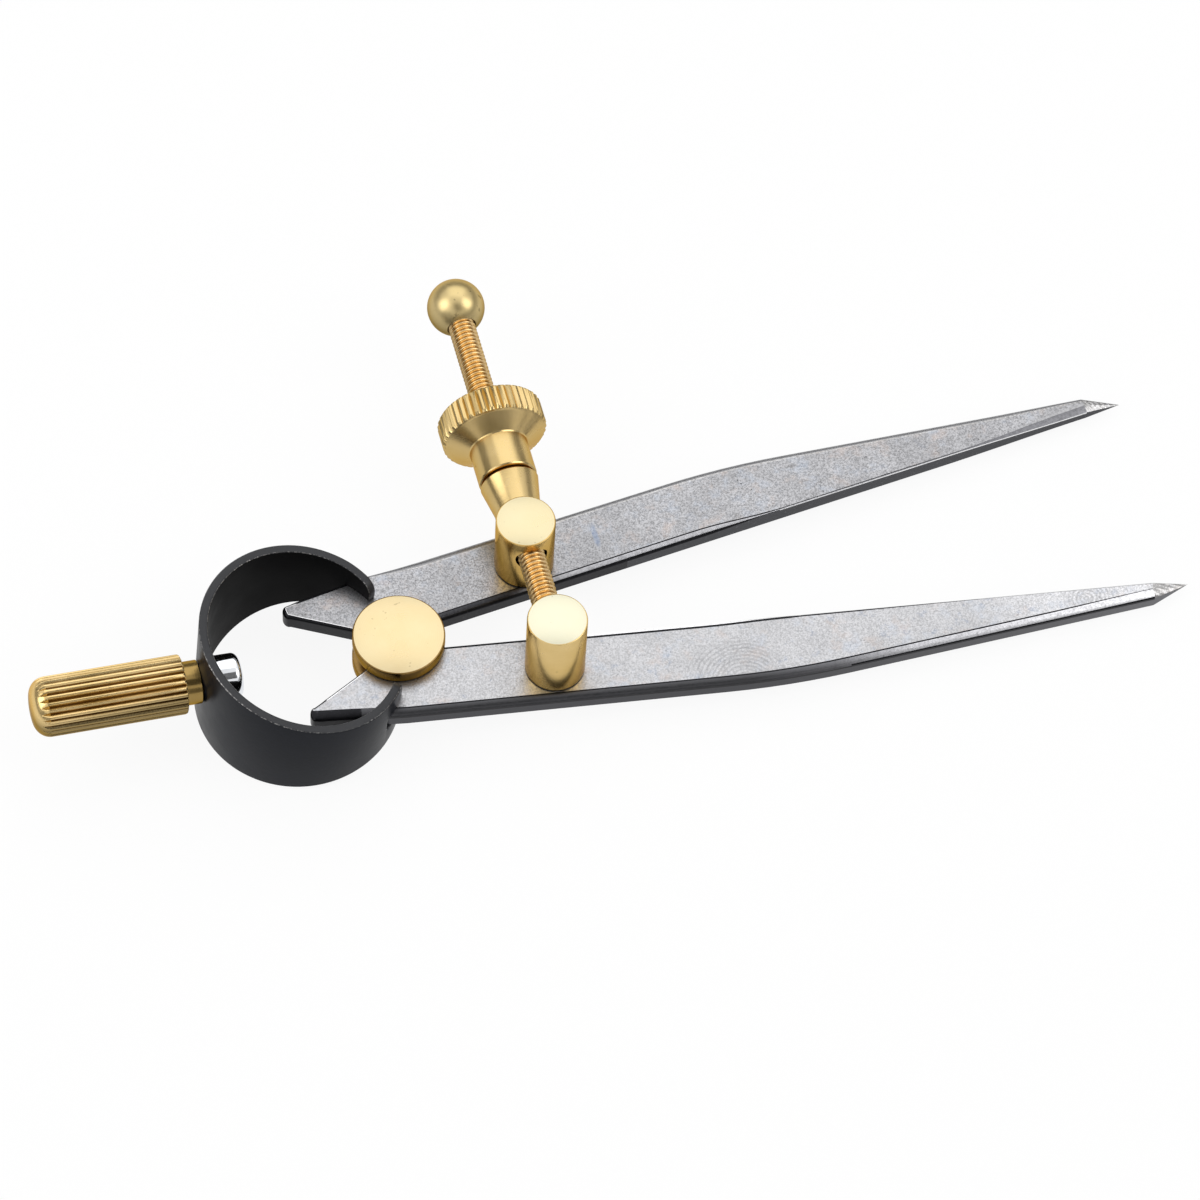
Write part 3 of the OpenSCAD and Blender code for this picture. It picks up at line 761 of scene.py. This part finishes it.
class Strip:
    """Half of the bow's strip, measured along its middle from its back; depth is counted from its outside."""

    STEPS = 600
    SEARCH = 0.05

    def __init__(self, side):
        self.side = side
        self.angles = [math.pi - (math.pi - BOW_OPEN) * i / self.STEPS for i in range(self.STEPS + 1)]
        self.arc = [0.0]
        for a, b in zip(self.angles, self.angles[1:]):
            self.arc.append(self.arc[-1] + (bow_outer((a + b) / 2) - BOW_T / 2) * (a - b))
        self.length = self.arc[-1]

    def angle(self, s):
        """Direction of the point that lies s along the strip."""
        s = min(max(s, 0.0), self.length)
        lo, hi = 0, self.STEPS
        while hi - lo > 1:
            mid = (lo + hi) // 2
            lo, hi = (mid, hi) if self.arc[mid] <= s else (lo, mid)
        t = (s - self.arc[lo]) / (self.arc[hi] - self.arc[lo])
        return self.angles[lo] + t * (self.angles[hi] - self.angles[lo])

    def point(self, s, depth):
        a = self.angle(s)
        r = bow_outer(a) - depth
        return Vector((r * math.cos(a), self.side * r * math.sin(a), 0))

    def half_width(self, s, depth=0.0):
        x, end = self.point(s, depth).x, self.point(self.length, 0).x
        return BOW_END_HW + (BOW_BACK_HW - BOW_END_HW) * (end - x) / (end + BOW_BACK)

    def leg_height(self, s):
        """Height on the strip of the legs' middle plane, from which it is tilted."""
        return (self.point(s, BOW_T / 2).x - FORK_X) * math.tan(BOW_TILT)

    def fork_bottom(self):
        """How far along the strip its inside meets the leg's outer edge."""
        to_leg = (FAR_LEG_FRAME if self.side > 0 else NEAR_LEG_FRAME).inverted() @ BOW_FRAME
        slope = (OUTER_EDGE - NOSE_Y) / -NOSE_END
        s = self.length
        while s > 0:
            p = to_leg @ self.point(s, BOW_T)
            if p.y > OUTER_EDGE + slope * min(p.x, 0):
                break
            s -= self.SEARCH
        return s


def arc_points(cx, cz, r, a0, a1, steps):
    """Points of an arc between two angles in degrees."""
    made = []
    for i in range(steps + 1):
        a = math.radians(a0 + (a1 - a0) * i / steps)
        made.append((cx + r * math.cos(a), cz + r * math.sin(a)))
    return made


def bow_half(name, strip):
    """Drawn flat, with its rims softened, and then bent along the strip."""
    slot = strip.fork_bottom()
    lip_r, throat_r, soft, steps, piece = 0.5, 0.6, 0.28, 30, 0.4
    upper = [(s, strip.half_width(s)) for s in (i * slot / steps for i in range(steps + 1))]
    prong = arc_points(strip.length - BOW_CORNER, BOW_END_HW - BOW_CORNER, BOW_CORNER, 78, 0, 8)
    lip = arc_points(strip.length - lip_r, SLOT_HW + lip_r, lip_r, 0, -90, 4)
    throat = arc_points(slot + throat_r, SLOT_HW - throat_r, throat_r, 90, 180, 4)
    edge, fork = upper + prong, lip + throat
    outline = edge + [(s, strip.leg_height(s) + z) for s, z in fork]
    outline += [(s, strip.leg_height(s) - z) for s, z in reversed(fork)] + [(s, -z) for s, z in reversed(edge)]
    bm = bmesh.new()
    face = bm.faces.new([bm.verts.new((s, z, 0)) for s, z in outline])
    out = bmesh.ops.extrude_face_region(bm, geom=[face])
    bmesh.ops.translate(bm, vec=(0, 0, BOW_T), verts=[v for v in out["geom"] if isinstance(v, bmesh.types.BMVert)])
    rims = [
        e for e in bm.edges
        if abs(e.verts[0].co.z - e.verts[1].co.z) < 1e-6 and max(v.co.x for v in e.verts) > 1e-6
    ]
    bmesh.ops.bevel(bm, geom=rims, offset=soft, segments=3, profile=0.6, affect="EDGES")
    cuts = int(strip.length / piece)
    for i in range(1, cuts):
        geom = bm.verts[:] + bm.edges[:] + bm.faces[:]
        bmesh.ops.bisect_plane(bm, geom=geom, plane_co=(strip.length * i / cuts, 0, 0), plane_no=(1, 0, 0))
    bm.normal_update()
    bmesh.ops.recalc_face_normals(bm, faces=bm.faces)
    outside, inside, rim, edge = range(4)
    for face in bm.faces:
        up = face.normal.z
        if abs(up) > 0.97:
            face.material_index = outside if up < 0 else inside
        else:
            face.material_index = rim if abs(up) < 0.2 else edge
    for v in bm.verts:
        s, z, depth = v.co
        p = strip.point(s, depth)
        v.co = (p.x, p.y, z * strip.half_width(s, depth) / strip.half_width(s))
    return to_object(bm, name, [BOW_OUT, BOW_IN_SHADED, BOW_RIM, BOW_EDGE], BOW_FRAME, 38.0)


for side, name, body in ((1, "bow_half_far", "far_arm"), (-1, "bow_half_near", "near_arm")):
    strip = Strip(side)
    half = bow_half(name, strip)
    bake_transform(half)
    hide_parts("bow_spring")


# Fulcrum spool

FLANGE_RIM = 0.22
bm = lathe([
    (0, 0), *chamfered(FLANGE_R, 0, FLANGE_T, FLANGE_RIM), (CORE_R, FLANGE_T),
    (CORE_R, SPOOL_H - FLANGE_T), *chamfered(FLANGE_R, SPOOL_H - FLANGE_T, SPOOL_H, FLANGE_RIM), (0, SPOOL_H),
])
mark_top(bm, SPOOL_H)
spool = to_object(bm, "spool_turned", [BRASS_SPOOL_SHADED, SPOOL_FACE], Matrix.Identity(4))
place_piece(spool, "head", "fulcrum_spool")


# Handle and its screw

GROOVE_SHARE = 0.36
# From this share of their depth on, and up to so far from the handle's end, the flutes get a painted shade
FLUTE_SHADE_FROM, FLUTE_SHADE_END = 0.43, 2.3
NECK_RIM = 0.1


def groove(turn, count):
    """Depth at that share of a turn of so many grooves, 0 on the lands and 1 in the valleys."""
    u = turn * count % 1.0
    return max(0.0, 1 - abs(u - 0.5) / GROOVE_SHARE)


def handle_rows():
    n = FLUTES * 12
    start, rim, steps, dome_r, dome_h = NECK_LEN, 0.3, 8, 2.6, 2.45
    straight = start + HANDLE_LEN - dome_r
    profile = [(HANDLE_R - 0.25, start), (HANDLE_R - 0.08, start + 0.08), (HANDLE_R, start + rim)]
    profile += [(HANDLE_R, start + rim + (straight - start - rim) * i / steps) for i in range(1, steps + 1)]
    for degrees in range(6, 79, 6):
        a = math.radians(degrees)
        profile.append((HANDLE_R - dome_r * (1 - math.cos(a)), straight + dome_h * math.sin(a)))
    end_r, end_z = profile[-1]
    left = start + HANDLE_LEN - end_z
    profile += [(end_r * (1 - i / 4), end_z + left * (1 - (1 - i / 4) ** 2)) for i in range(1, 4)]
    rows = [ring(0, 0.0, n), ring(NECK_R - NECK_RIM, 0.0, n), ring(NECK_R, NECK_RIM, n), ring(NECK_R, start, n)]
    for r, z in profile:
        rows.append(ring(r, z, n, lambda t, r=r: min(r, HANDLE_R - FLUTE_DEPTH * groove(t, FLUTES))))
    rows.append([(0, 0, start + HANDLE_LEN)])
    return rows


bm = bmesh.new()
skin(bm, handle_rows())
handle_end = NECK_LEN + HANDLE_LEN
for f in bm.faces:
    x, y, z = f.calc_center_median()
    # Deep in the flutes, but for the rounded end, the brass gets a painted shade
    deep = math.hypot(x, y) < HANDLE_R - FLUTE_SHADE_FROM * FLUTE_DEPTH
    # The neck gets a painted reflection of the black bow
    if z < NECK_LEN - 0.01:
        f.material_index = 2
    elif deep and NECK_LEN + 0.05 < z < handle_end - FLUTE_SHADE_END:
        f.material_index = 1
handle = to_object(bm, "handle_fluted", [BRASS_HANDLE, BRASS_GROOVE_SHADE, BRASS_NECK_REFLECTION], HANDLE_FRAME, 24.0)
place_piece(handle, "head", "handle")

BOLT_RIM, HEAD_RIM, SLOT_DEPTH, SLOT_LEN = 0.3, 0.15, 0.9, 12.0
head_face = HEAD_SEAT - HEAD_H
head_profile = [
    (0, BOLT_GRIP), (BOLT_R - BOLT_RIM, BOLT_GRIP), (BOLT_R, BOLT_GRIP - BOLT_RIM), (BOLT_R, HEAD_SEAT),
    (HEAD_R - HEAD_RIM, HEAD_SEAT), (HEAD_R, HEAD_SEAT - HEAD_RIM),
]
for degrees in range(0, 91, 9):
    a = math.radians(degrees)
    head_profile.append((HEAD_R - HEAD_ROUND * (1 - math.cos(a)), head_face + HEAD_ROUND * (1 - math.sin(a))))
head_profile.append((0, head_face))
bolt = to_object(lathe(head_profile, 72), "handle_screw_plated", [PLATED], HANDLE_FRAME)
slot_box = bmesh.new()
bmesh.ops.create_cube(slot_box, size=1.0)
slot_size = Matrix.Diagonal((BOLT_SLOT, SLOT_LEN, 2 * SLOT_DEPTH, 1))
slot_place = Matrix.Translation((0, 0, head_face)) @ turn_z(BOLT_SLOT_TURN) @ slot_size
bmesh.ops.transform(slot_box, matrix=slot_place, verts=slot_box.verts)
cut(bolt, to_object(slot_box, "slot_box", [PLATED], HANDLE_FRAME))
place_piece(bolt, "head", "handle_screw")


# Posts


POST_RIM, BORE_REACH, BORE_GAP = 0.2, 8, 0.02


def post(name, side, top, wall, face, bore_r, bore_from):
    """A post with a bore for the screw from bore_from outwards, and a dark line round its foot."""
    bm = lathe([
        (0, RIVET_BOTTOM), *chamfered(RIVET_R, RIVET_BOTTOM, RIVET_TOP, POST_RIM), (TENON_R, RIVET_TOP),
        (TENON_R, POST_FOOT), *chamfered(POST_R, POST_FOOT, top, POST_RIM), (0, top),
    ], 128)
    mark_top(bm, top)
    for f in bm.faces:
        if POST_FOOT - 0.01 < f.calc_center_median().z < POST_FOOT + POST_RIM:
            f.material_index = 2
    body = to_object(bm, name, [wall, face, BRASS_SHADOW], post_frame(side))
    bore = lathe([(0, bore_from), (bore_r, bore_from), (bore_r, BORE_REACH), (0, BORE_REACH)], 48)
    return cut(body, to_object(bore, "bore", [wall], screw_frame(side)))


near_bore = SCREW_START - BORE_GAP
near_post = post("near_post_turned", -1, NEAR_POST_TOP, BRASS_NEAR_POST, NEAR_POST_FACE, NEAR_BORE_R, near_bore)
far_post = post("far_post_turned", 1, FAR_POST_TOP, BRASS_FAR_POST_SHADED, FAR_POST_FACE, LOOSE_R, -BORE_REACH)
place_piece(near_post, "near_swivel", "near_post")
place_piece(far_post, "far_swivel", "far_post")


# Adjusting screw, ball, collar and thumb nut


# Shares of the half pitch at which the thread's crest ends and its root starts
CREST_END, ROOT_START = 0.128, 0.864
SCREW_LEAD = 0.5


def thread_height(phase):
    """Height of the thread over its root, 0 to 1, at that share of the pitch."""
    u = abs(phase % 1.0 - 0.5) * 2
    return min(1.0, max(0.0, (ROOT_START - u) / (ROOT_START - CREST_END)))


def screw_rows():
    n, step = 40, PITCH / 10
    rows = [[(0, 0, SCREW_START)]]
    count = int((SCREW_END - SCREW_START) / step)
    for k in range(count + 1):
        z = SCREW_START + (SCREW_END - SCREW_START) * k / count
        full = (SCREW_R - SCREW_ROOT) * smoothstep(SCREW_START, SCREW_START + SCREW_LEAD, z)
        rows.append(ring(1, z, n, lambda t, z=z, h=full: SCREW_ROOT + h * thread_height(z / PITCH - t)))
    rows.append([(0, 0, SCREW_END)])
    return rows


bm = bmesh.new()
skin(bm, screw_rows())
# The thread's roots get a painted shade, darker than its crests
dark_r = SCREW_ROOT + 0.35 * (SCREW_R - SCREW_ROOT)
for f in bm.faces:
    x, y, _ = f.calc_center_median()
    f.material_index = 1 if math.hypot(x, y) < dark_r else 0
screw = to_object(bm, "screw_threaded", [BRASS_SCREW, BRASS_ROOT_SHADE], screw_frame(-1), 60.0)
place_piece(screw, "near_swivel", "adjusting_screw")

HOLE_DEPTH, HOLE_RIM, BALL_STEPS = 0.9, 0.1, 40
hole_r, hole_face = SCREW_R + 0.06, BALL_AT - BALL_FACE
hole_end = hole_face + HOLE_DEPTH
ball_profile = [(0, hole_end), (hole_r, hole_end), (hole_r, hole_face + HOLE_RIM)]
face_angle = math.acos(BALL_FACE / BALL_R)
for i in range(BALL_STEPS):
    a = face_angle + (math.pi - face_angle) * i / BALL_STEPS
    ball_profile.append((BALL_R * math.sin(a), BALL_AT - BALL_R * math.cos(a)))
ball_profile.append((0, BALL_AT + BALL_R))
ball = to_object(lathe(ball_profile, 96), "ball_turned", [BRASS_BALL], screw_frame(-1))
place_piece(ball, "near_swivel", "ball_end")


COLLAR_GAP, COLLAR_RIM = 0.05, 0.50


def collar_rows(n=96):
    def seat(r):
        """A row of the end that follows the round of the post."""
        round_r = POST_R + COLLAR_GAP
        return [(x, y, math.sqrt(round_r**2 - x**2)) for x, y, _ in ring(r, 0, n)]

    outer = [
        (COLLAR_SEAT_R, POST_R + COLLAR_GAP + 0.01), (COLLAR_R - 0.02, COLLAR_END - COLLAR_RIM),
        (COLLAR_R - 0.16, COLLAR_END - 0.26), (COLLAR_R - 0.60, COLLAR_END),
    ]
    rows = [seat(LOOSE_R), seat(COLLAR_SEAT_R)]
    rows += [ring(r, z, n) for r, z in outer]
    rows += [ring(LOOSE_R, COLLAR_END, n), seat(LOOSE_R)]
    return rows


bm = bmesh.new()
skin(bm, collar_rows())
# The collar's outer end, towards the nut, gets the painted shade of the gap between them
for f in bm.faces:
    f.material_index = 1 if f.calc_center_median().z > COLLAR_END - COLLAR_RIM + 0.02 else 0
collar = to_object(bm, "collar_turned", [BRASS_ACROSS_SHADED, BRASS_GAP_SHADE], screw_frame(1))
place_piece(collar, "far_swivel", "thrust_collar")


def nut_rows():
    n = KNURLS * 8
    wheel = HUB_LEN + CONE_LEN
    end = wheel + WHEEL_T
    plain = [
        (NUT_BORE_R, 0.0), (HUB_R - 0.30, 0.0), (HUB_R - 0.10, 0.10), (HUB_R, 0.30), (HUB_R, HUB_LEN - 0.25),
        (HUB_R + 0.10, HUB_LEN - 0.05), (HUB_R + 0.35, HUB_LEN + 0.12),
        (WHEEL_R - 0.75, wheel - 0.12), (WHEEL_R - 0.55, wheel),
    ]
    rim = [
        (WHEEL_R - 0.30, wheel + 0.08), (WHEEL_R, wheel + 0.42),
        (WHEEL_R, end - 0.42), (WHEEL_R - 0.30, end - 0.08),
    ]
    back = [(WHEEL_R - 0.55, end), (NUT_BORE_R + 0.5, end), (NUT_BORE_R, end - 0.5), (NUT_BORE_R, 0.0)]
    rows = [ring(r, z, n) for r, z in plain]
    for r, z in rim:
        rows.append(ring(r, z, n, lambda t, r=r: min(r, WHEEL_R - KNURL_DEPTH * groove(t, KNURLS))))
    rows += [ring(r, z, n) for r, z in back]
    return [[(x, y, z + NUT_START) for x, y, z in row] for row in rows]


bm = bmesh.new()
skin(bm, nut_rows())
nut = to_object(bm, "nut_knurled", [BRASS_ACROSS_SHADED], screw_frame(1), 26.0)
place_piece(nut, "nut", "thumb_nut")

for node in ("near_post_washer", "far_post_washer"):
    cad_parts[node].data.materials.clear()
    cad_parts[node].data.materials.append(STEEL_TIP)


# Stage, light and camera


def seen_by_eye(tree):
    """1 for rays from the camera and for those that mirror or pass through something, 0 for the rest."""
    path = tree.nodes.new("ShaderNodeLightPath")
    seen = path.outputs["Is Camera Ray"]
    for name in ("Is Glossy Ray", "Is Transmission Ray"):
        either = tree.nodes.new("ShaderNodeMath")
        either.operation = "MAXIMUM"
        tree.links.new(seen, either.inputs[0])
        tree.links.new(path.outputs[name], either.inputs[1])
        seen = either.outputs[0]
    return seen


def mix_in(tree, share, plain, white, out):
    """That share of the white shader and the rest of the plain one go to the output."""
    mix = tree.nodes.new("ShaderNodeMixShader")
    tree.links.new(share, mix.inputs[0])
    tree.links.new(plain, mix.inputs[1])
    tree.links.new(white, mix.inputs[2])
    tree.links.new(mix.outputs[0], out)


MATT = 0.9


def stage_mesh(name, points, faces, grey):
    """A matt grey thing of the studio, which is no piece of the object."""
    mesh = bpy.data.meshes.new(name)
    mesh.from_pydata(points, [], faces)
    obj = bpy.data.objects.new(name, mesh)
    bpy.context.scene.collection.objects.link(obj)
    material = bpy.data.materials.new(name)
    material.use_nodes = True
    plain = material.node_tree.nodes["Principled BSDF"]
    plain.inputs["Base Color"].default_value = (grey, grey, grey, 1)
    plain.inputs["Roughness"].default_value = MATT
    mesh.materials.append(material)
    return obj


WORLD_LIGHT = 0.70
world = bpy.data.worlds.new("studio")
bpy.context.scene.world = world
world.use_nodes = True
tree = world.node_tree
soft = tree.nodes["Background"]
soft.inputs["Color"].default_value = (1, 1, 1, 1)
soft.inputs["Strength"].default_value = WORLD_LIGHT
white = tree.nodes.new("ShaderNodeBackground")
white.inputs["Color"].default_value = (1, 1, 1, 1)
white.inputs["Strength"].default_value = 1.0
mix_in(tree, seen_by_eye(tree), soft.outputs[0], white.outputs[0], tree.nodes["World Output"].inputs["Surface"])


def rectangle(half_x, half_y):
    return [(x * half_x, y * half_y, 0) for x, y in ((-1, -1), (1, -1), (1, 1), (-1, 1))], [(0, 1, 2, 3)]


# The floor runs under the back of the bow and the two points, on which the object lies
BOW_FOOT = Vector((-29.75, 0, -4.08)) * MM
FLOOR_TILT = math.atan2(6.19, 138.45)
FLOOR_REACH, FLOOR_GREY, FLOOR_WHITE = 3.0, 0.95, 0.91
floor = stage_mesh("floor", *rectangle(FLOOR_REACH, FLOOR_REACH), FLOOR_GREY)
floor.matrix_world = Matrix.Translation(BOW_FOOT) @ Matrix.Rotation(-FLOOR_TILT, 4, "Y")
tree = floor.data.materials[0].node_tree
share = tree.nodes.new("ShaderNodeMath")
share.operation = "MULTIPLY"
share.inputs[1].default_value = FLOOR_WHITE
tree.links.new(seen_by_eye(tree), share.inputs[0])
glow = tree.nodes.new("ShaderNodeEmission")
glow.inputs["Strength"].default_value = 1.0
mix_in(
    tree, share.outputs[0], tree.nodes["Principled BSDF"].outputs[0], glow.outputs[0],
    tree.nodes["Material Output"].inputs["Surface"],
)

# A grey wall round the table, seen only in the metal
WALL_R, WALL_LOW, WALL_HIGH, WALL_SIDES, WALL_GREY = 1.1, -0.12, 0.55, 48, 0.42
turns = [TAU * i / WALL_SIDES for i in range(WALL_SIDES)]
points = [(WALL_R * math.cos(t), WALL_R * math.sin(t), z) for z in (WALL_LOW, WALL_HIGH) for t in turns]
quads = []
for i in range(WALL_SIDES):
    j = (i + 1) % WALL_SIDES
    quads.append((i, j, WALL_SIDES + j, WALL_SIDES + i))
wall = stage_mesh("wall", points, quads, WALL_GREY)
wall.visible_camera = False

MIDDLE = Vector((0.03, 0.0, 0.0))


def facing(direction, distance):
    """Place of a thing that far from the middle of the table in that direction, turned to face it."""
    away = Vector(direction).normalized()
    return Matrix.Translation(MIDDLE + away * distance) @ away.to_track_quat("Z", "Y").to_matrix().to_4x4()


# A dark card behind the camera, seen only in the metal
CARD_HALF_W, CARD_HALF_H, CARD_GREY = 0.27, 0.25, 0.18
card = stage_mesh("card", *rectangle(CARD_HALF_W, CARD_HALF_H), CARD_GREY)
card.matrix_world = facing((0.02, -0.51, 0.86), 0.85)
card.visible_camera = False


def softbox(name, direction, distance, size, radiance):
    """A lamp with a soft face of that brightness."""
    data = bpy.data.lights.new(name, "AREA")
    data.shape = "RECTANGLE"
    data.size, data.size_y = size
    data.energy = radiance * math.pi * size[0] * size[1]
    lamp = bpy.data.objects.new(name, data)
    bpy.context.scene.collection.objects.link(lamp)
    lamp.matrix_world = facing(direction, distance)
    return lamp


softbox("left", (-0.80, 0.03, 0.59), 0.9, (0.55, 0.65), 2.1)
softbox("right", (0.63, -0.27, 0.73), 0.9, (0.50, 0.60), 2.1)
softbox("back", (0.15, 0.56, 0.81), 0.95, (0.95, 0.85), 0.72)

camera_data = bpy.data.cameras.new("camera")
camera_data.sensor_width, camera_data.lens = 36.0, 150.96
camera_data.clip_start, camera_data.clip_end = 0.01, 20.0
camera = bpy.data.objects.new("camera", camera_data)
bpy.context.scene.collection.objects.link(camera)
# The camera as solved from the photo: its axes, and its place in metres
CAMERA_AT = (-0.091735, -0.366187, 0.616768)
RIGHT = Vector((0.96596, -0.2558, 0.03872))
DOWN = Vector((-0.19673, -0.82344, -0.53221))
AHEAD = Vector((0.16801, 0.50647, -0.84572))
turn = Matrix((RIGHT, -DOWN, -AHEAD)).transposed().to_4x4()
camera.matrix_world = Matrix.Translation(CAMERA_AT) @ turn
bpy.context.scene.camera = camera
bpy.context.scene.view_settings.view_transform = "Standard"
